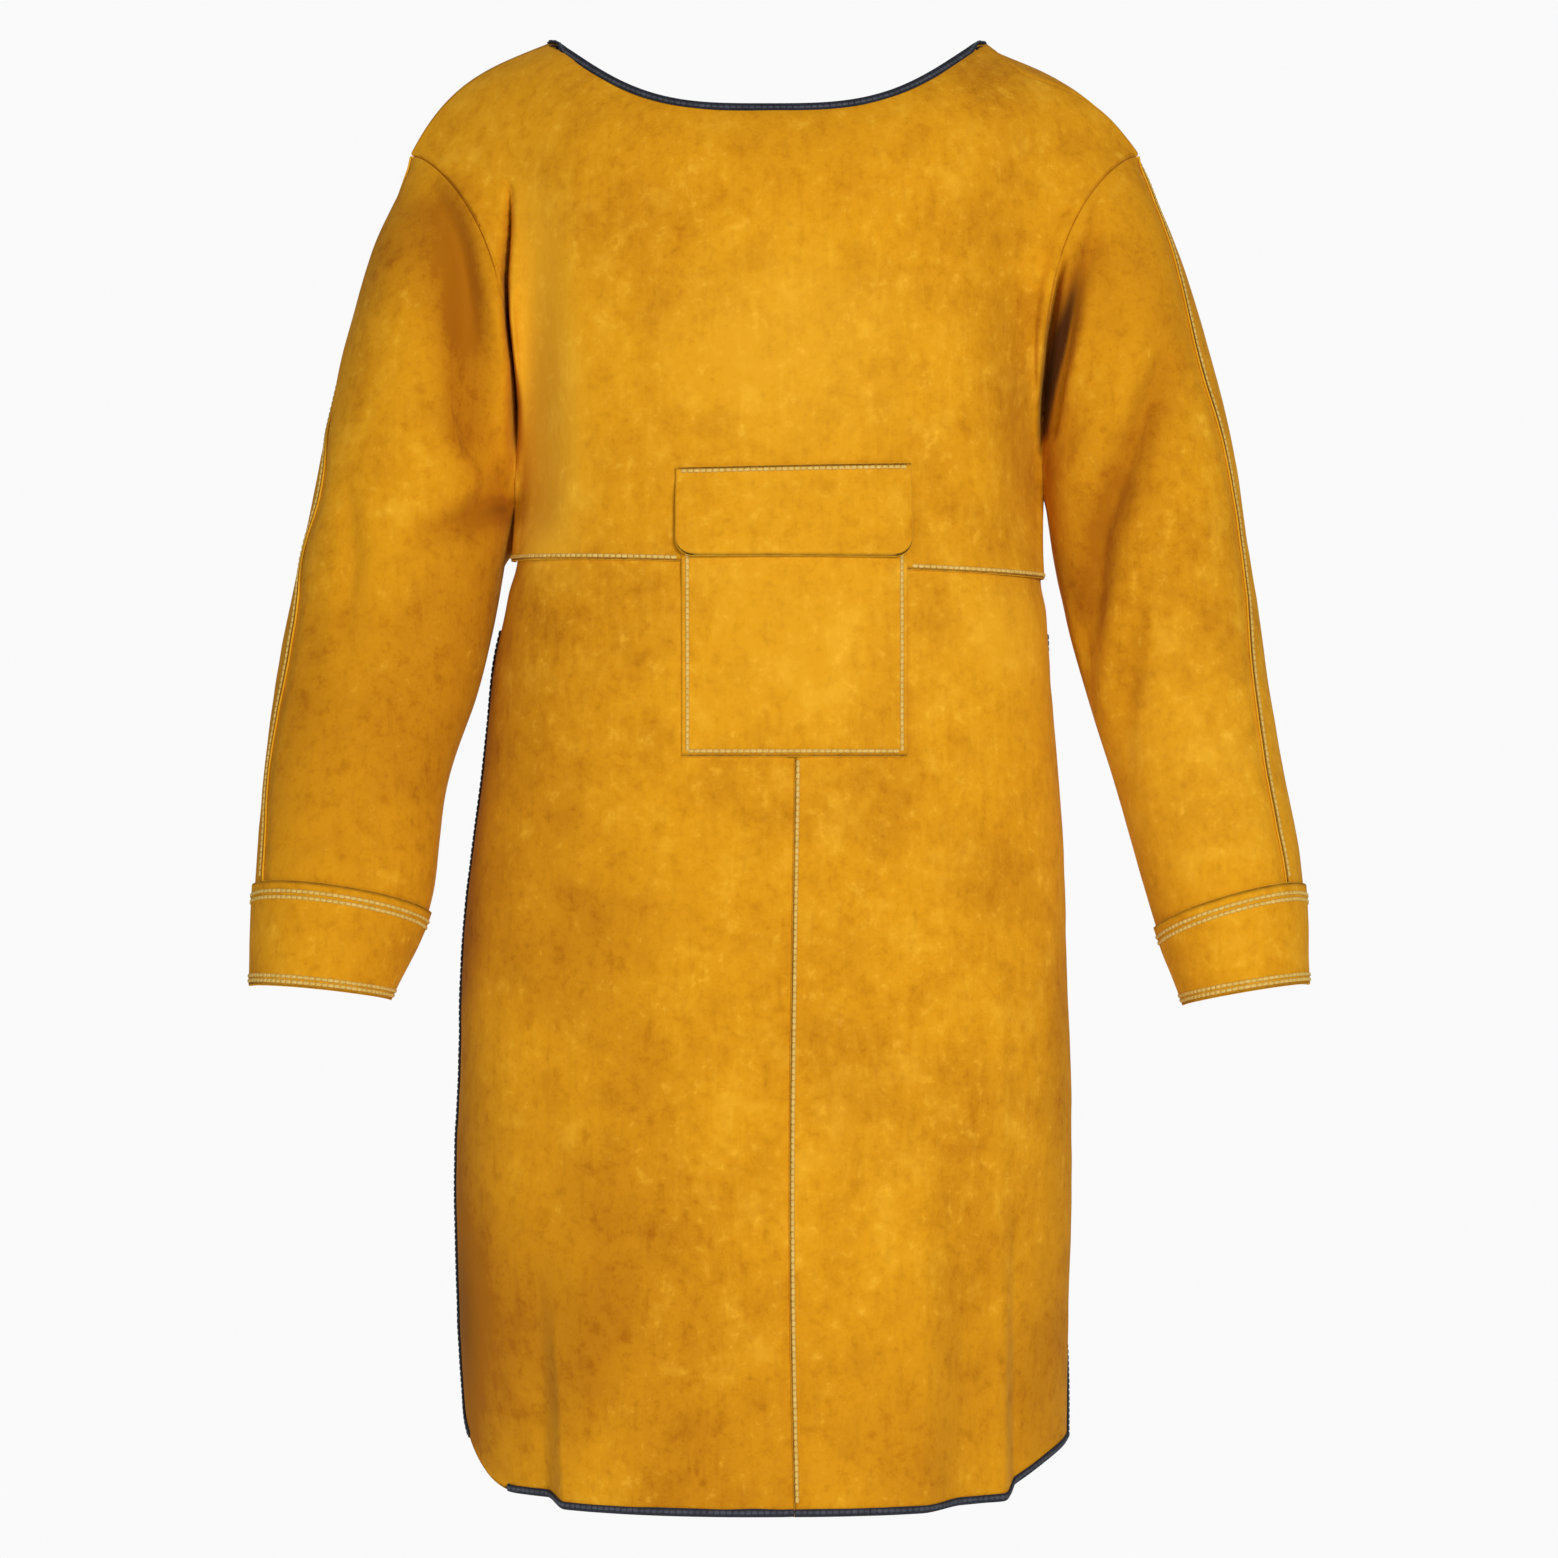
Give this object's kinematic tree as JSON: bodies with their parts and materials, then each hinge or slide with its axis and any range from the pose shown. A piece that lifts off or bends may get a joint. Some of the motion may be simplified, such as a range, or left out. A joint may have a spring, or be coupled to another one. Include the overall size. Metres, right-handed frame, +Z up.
{
  "type": "leather welding apron with sleeves",
  "caption": "Suede welding apron with long sleeves, an open back, lapped and topstitched panels, a flapped waist pocket and black tape on the free edges.",
  "frame": {"origin": "on the shoulder line in the middle of the neck opening, where the garment hangs on the shoulders", "axes": "+Z up, the front faces -Y, the wearer's left sleeve is at +X"},
  "size_m": [0.7584, 0.2092, 1.0523],
  "materials": {
    "suede": "napped split suede, matt, mottled golden yellow",
    "tape": "matt woven tape, blue black",
    "thread": "waxed sewing thread, pale yellow"
  },
  "bodies": {
    "root": {"bib": "suede", "back_yoke": "suede", "skirt_right": "suede", "skirt_left": "suede", "pocket": "suede", "pocket_flap": "suede", "sleeve_front_right": "suede", "sleeve_back_right": "suede", "cuff_right": "suede", "sleeve_front_left": "suede", "sleeve_back_left": "suede", "cuff_left": "suede", "neck_binding": "tape", "hem_binding_right": "tape", "hem_binding_left": "tape", "side_binding_right": "tape", "side_binding_left": "tape", "yoke_binding": "tape"}
  },
  "joints": []
}
